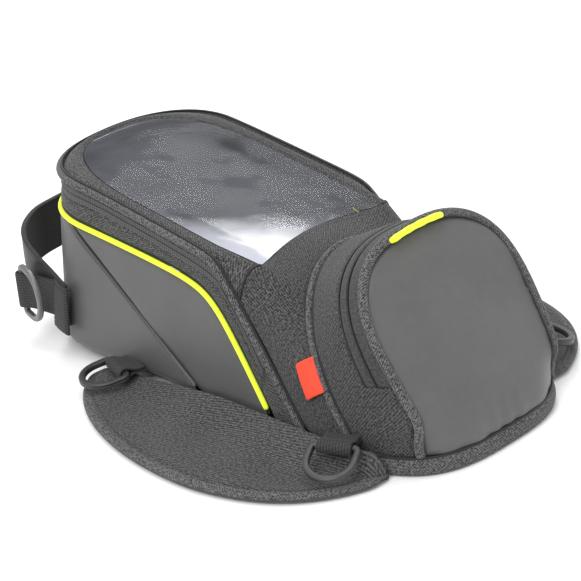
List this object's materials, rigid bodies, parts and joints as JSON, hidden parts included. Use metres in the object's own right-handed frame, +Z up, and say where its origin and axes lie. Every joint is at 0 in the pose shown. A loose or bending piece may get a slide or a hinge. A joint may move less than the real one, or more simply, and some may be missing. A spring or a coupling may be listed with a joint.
{
  "type": "motorcycle tank bag",
  "caption": "Soft motorcycle tank bag with a zipped lid, clear phone window, zipped front pocket, carry handle and magnetic side flaps with strap rings.",
  "frame": {"origin": "centre of the bag's footprint, flaps and handle included, on the surface it rests on", "axes": "+X towards the front pocket along the bag's length, +Y to the side away from the near flap, +Z up"},
  "size_m": [0.3874, 0.3082, 0.1297],
  "materials": {
    "coated_fabric": "satin coated synthetic, faint mottling",
    "woven_fabric": "matte diagonal weave with light flecks",
    "binding_fabric": "matte woven binding with stitched edge",
    "webbing": "matte ribbed webbing",
    "zip_tape": "smooth coil zip tape",
    "lining_fabric": "matte lining cloth",
    "padding": "soft padded weave",
    "neon_fabric": "fluorescent yellow woven trim",
    "red_fabric": "folded satin ribbon",
    "stiffener_board": "plain sheet",
    "black_plastic": "moulded, slightly worn",
    "neon_plastic": "soft moulded",
    "slider_metal": "dark plated casting",
    "ring_metal": "satin plated wire",
    "magnet": "plain plated disc",
    "clear_film": "glossy clear flexible film"
  },
  "bodies": {
    "bag": {"base_panel": "woven_fabric", "base_board": "stiffener_board", "base_rim": "binding_fabric", "lower_shell": "coated_fabric", "side_panel_near": "coated_fabric", "side_panel_far": "coated_fabric", "neon_piping": "neon_fabric", "lower_band": "woven_fabric", "main_zip_tape_lower": "zip_tape", "band_front_near": "woven_fabric", "band_front_far": "woven_fabric", "front_piping_near": "binding_fabric", "front_piping_far": "binding_fabric", "front_panel": "woven_fabric", "pocket_welt": "binding_fabric", "pocket_gusset": "woven_fabric", "pocket_divider": "lining_fabric", "pocket_zip_tape_rear": "zip_tape", "pocket_front_lower": "coated_fabric", "label_tab": "red_fabric", "handle_patch_near": "webbing", "handle_patch_far": "webbing"},
    "lid": {"lid_panel": "woven_fabric", "lid_rim": "woven_fabric", "main_zip_tape_upper": "zip_tape", "lid_piping": "binding_fabric", "window_film": "clear_film", "window_pouch": "lining_fabric"},
    "pocket_door": {"pocket_door_panel": "coated_fabric", "pocket_door_piping": "binding_fabric", "pocket_zip_tape_front": "zip_tape", "pocket_pull_loop": "neon_fabric"},
    "main_slider": {"main_slider": "slider_metal"},
    "main_slider_pull": {"main_slider_pull": "neon_plastic"},
    "pocket_slider": {"pocket_slider": "slider_metal"},
    "pocket_slider_pull": {"pocket_slider_pull": "neon_plastic"},
    "handle": {"handle_strap": "coated_fabric", "handle_loop_near": "webbing", "handle_loop_far": "webbing"},
    "handle_ring_near": {"handle_ring_near": "ring_metal"},
    "handle_ring_far": {"handle_ring_far": "ring_metal"},
    "flap_near": {"flap_pad_near": "padding", "flap_skin_near": "woven_fabric", "flap_binding_near": "binding_fabric", "flap_magnet_near_1": "magnet", "flap_magnet_near_2": "magnet", "flap_loop_near_rear": "webbing", "flap_loop_near_front": "webbing"},
    "flap_ring_near_rear": {"flap_ring_near_rear": "black_plastic"},
    "flap_ring_near_front": {"flap_ring_near_front": "black_plastic"},
    "flap_far": {"flap_pad_far": "padding", "flap_skin_far": "woven_fabric", "flap_binding_far": "binding_fabric", "flap_magnet_far_1": "magnet", "flap_magnet_far_2": "magnet", "flap_loop_far_rear": "webbing", "flap_loop_far_front": "webbing"},
    "flap_ring_far_rear": {"flap_ring_far_rear": "black_plastic"},
    "flap_ring_far_front": {"flap_ring_far_front": "black_plastic"}
  },
  "joints": [
    {"name": "lid_hinge", "type": "hinge", "parent": "bag", "child": "lid", "pos_m": [0.05, 0, 0.098], "axis": [0, 1, 0], "range_deg": [0, 110]},
    {"name": "pocket_door_hinge", "type": "hinge", "parent": "bag", "child": "pocket_door", "pos_m": [0.1742, 0, 0.0492], "axis": [0, 1, 0], "range_deg": [0, 100]},
    {"name": "main_zip_slide", "type": "slide", "parent": "bag", "child": "main_slider", "axis": [-0.9818, 0, 0.1897], "range_m": [0, 0.05]},
    {"name": "main_pull_hinge", "type": "hinge", "parent": "main_slider", "child": "main_slider_pull", "pos_m": [0.01205, 0.07238, 0.09423], "axis": [-0.1888, 0.0977, -0.9771], "range_deg": [0, 165]},
    {"name": "pocket_zip_slide", "type": "slide", "parent": "bag", "child": "pocket_slider", "axis": [-0.5378, -0.0189, 0.8429], "range_m": [0, 0.03]},
    {"name": "pocket_pull_hinge", "type": "hinge", "parent": "pocket_slider", "child": "pocket_slider_pull", "pos_m": [0.14974, 0.07243, 0.05922], "axis": [0.8287, -0.1956, 0.5244], "range_deg": [0, 165]},
    {"name": "handle_hinge", "type": "hinge", "parent": "bag", "child": "handle", "pos_m": [-0.126, 0, 0.035], "axis": [0, 1, 0], "range_deg": [-12, 25], "stiffness_Nm_per_rad": 0.3},
    {"name": "handle_ring_near_hinge", "type": "hinge", "parent": "handle", "child": "handle_ring_near", "pos_m": [-0.16, -0.079, 0.038], "axis": [0, 0, -1], "range_deg": [0, 150]},
    {"name": "handle_ring_far_hinge", "type": "hinge", "parent": "handle", "child": "handle_ring_far", "pos_m": [-0.16, 0.079, 0.038], "axis": [0, 0, 1], "range_deg": [0, 150]},
    {"name": "flap_near_hinge", "type": "hinge", "parent": "bag", "child": "flap_near", "pos_m": [0.04, -0.082, 0.012], "axis": [1, 0, 0], "range_deg": [-18, 45]},
    {"name": "flap_far_hinge", "type": "hinge", "parent": "bag", "child": "flap_far", "pos_m": [0.04, 0.082, 0.012], "axis": [-1, 0, 0], "range_deg": [-18, 45]},
    {"name": "flap_ring_near_rear_hinge", "type": "hinge", "parent": "flap_near", "child": "flap_ring_near_rear", "pos_m": [-0.057, -0.09, 0.0144], "axis": [-0.9553, 0.2955, 0], "range_deg": [0, 116]},
    {"name": "flap_ring_near_front_hinge", "type": "hinge", "parent": "flap_near", "child": "flap_ring_near_front", "pos_m": [0.137, -0.0905, 0.0212], "axis": [-0.9131, -0.4078, 0], "range_deg": [0, 140]},
    {"name": "flap_ring_far_rear_hinge", "type": "hinge", "parent": "flap_far", "child": "flap_ring_far_rear", "pos_m": [-0.057, 0.09, 0.0144], "axis": [0.9553, 0.2955, 0], "range_deg": [0, 116]},
    {"name": "flap_ring_far_front_hinge", "type": "hinge", "parent": "flap_far", "child": "flap_ring_far_front", "pos_m": [0.137, 0.0905, 0.0212], "axis": [0.9131, -0.4078, 0], "range_deg": [0, 140]}
  ]
}
